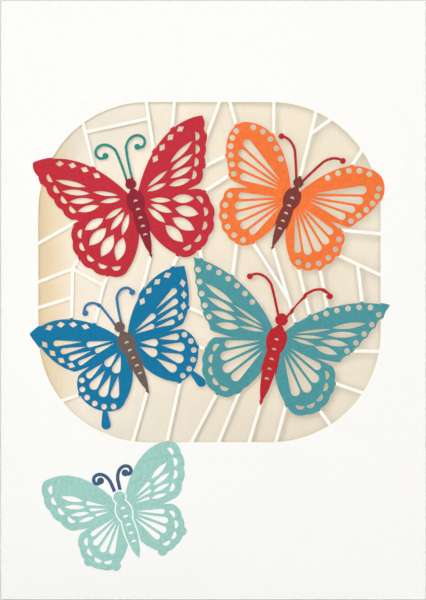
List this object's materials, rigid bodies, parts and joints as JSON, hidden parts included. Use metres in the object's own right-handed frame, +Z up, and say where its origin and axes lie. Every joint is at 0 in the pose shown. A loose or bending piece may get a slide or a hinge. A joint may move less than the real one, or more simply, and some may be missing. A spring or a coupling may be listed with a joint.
{
  "type": "laser-cut greeting card",
  "caption": "Folded greeting card with a laser-cut butterfly lattice in a rounded window and a cream paper insert, standing open.",
  "frame": {"origin": "on the ground, in the middle of the standing card's length and depth", "axes": "+Z up, the front panel faces -Y, the fold is at -X"},
  "size_m": [0.1264, 0.075, 0.178],
  "materials": {
    "white_card": "matt printed card",
    "cream_paper": "matt laid paper"
  },
  "bodies": {
    "root": {"card": "white_card", "insert": "cream_paper"}
  },
  "joints": []
}
